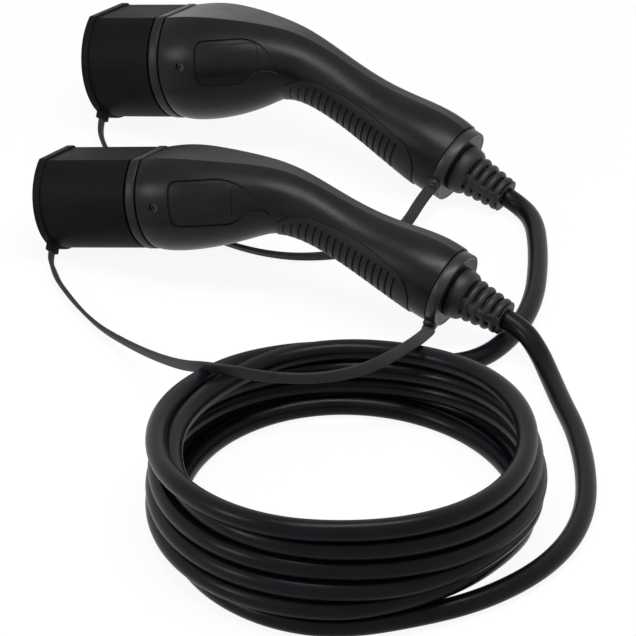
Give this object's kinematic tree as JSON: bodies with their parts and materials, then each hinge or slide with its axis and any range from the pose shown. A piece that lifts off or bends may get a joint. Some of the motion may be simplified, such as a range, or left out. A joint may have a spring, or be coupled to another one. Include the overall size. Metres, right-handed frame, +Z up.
{
  "type": "ev charging cable",
  "caption": "Charging cable with a capped pistol-shaped connector at each end, its cord wound into an oval coil.",
  "frame": {"origin": "on the surface, below the middle of the two connectors", "axes": "+Z up; +X from the connectors' caps towards their cords; +Y away from the coil"},
  "size_m": [0.3459, 0.6947, 0.0922],
  "materials": {
    "cap_rubber": "moulded matte",
    "nose_nylon": "moulded",
    "contact_silver": "silver-plated, turned",
    "inner_nylon": "moulded",
    "seal_rubber": "moulded",
    "shell_nylon": "satin, fine grain",
    "grip_rubber": "overmoulded",
    "screw_steel": "blackened",
    "strap_rubber": "moulded matte",
    "boot_rubber": "fine grain",
    "cable_sheath": "satin extruded",
    "core_insulation": "extruded",
    "resistor_ceramic": "dipped"
  },
  "bodies": {
    "cable": {"vehicle_nose": "nose_nylon", "vehicle_power_contacts": "contact_silver", "vehicle_signal_contacts": "contact_silver", "vehicle_contact_retainer": "inner_nylon", "vehicle_nose_seal": "seal_rubber", "vehicle_handle_shell": "shell_nylon", "vehicle_grip_pad": "grip_rubber", "vehicle_side_screws": "screw_steel", "vehicle_tail_ring": "strap_rubber", "vehicle_bend_relief": "boot_rubber", "vehicle_cable_end": "cable_sheath", "vehicle_gland_seal": "seal_rubber", "vehicle_clamp_lower": "inner_nylon", "vehicle_clamp_upper": "inner_nylon", "vehicle_clamp_screws": "screw_steel", "vehicle_wire_cores": "core_insulation", "vehicle_coding_resistor": "resistor_ceramic", "vehicle_tail": "cable_sheath", "vehicle_cap_strap": "strap_rubber", "station_nose": "nose_nylon", "station_power_contacts": "contact_silver", "station_signal_contacts": "contact_silver", "station_contact_retainer": "inner_nylon", "station_nose_seal": "seal_rubber", "station_handle_shell": "shell_nylon", "station_grip_pad": "grip_rubber", "station_side_screws": "screw_steel", "station_tail_ring": "strap_rubber", "station_bend_relief": "boot_rubber", "station_cable_end": "cable_sheath", "station_gland_seal": "seal_rubber", "station_clamp_lower": "inner_nylon", "station_clamp_upper": "inner_nylon", "station_clamp_screws": "screw_steel", "station_wire_cores": "core_insulation", "station_coding_resistor": "resistor_ceramic", "station_tail": "cable_sheath", "station_cap_strap": "strap_rubber", "cable_coil": "cable_sheath"},
    "vehicle_cap": {"vehicle_dust_cap": "cap_rubber"},
    "station_cap": {"station_dust_cap": "cap_rubber"}
  },
  "joints": [
    {"name": "vehicle_cap_slide", "type": "slide", "parent": "cable", "child": "vehicle_cap", "axis": [-0.8922, 0.3972, -0.2149], "range_m": [0, 0.07]},
    {"name": "station_cap_slide", "type": "slide", "parent": "cable", "child": "station_cap", "axis": [-0.8839, 0.4178, -0.2101], "range_m": [0, 0.07]}
  ]
}
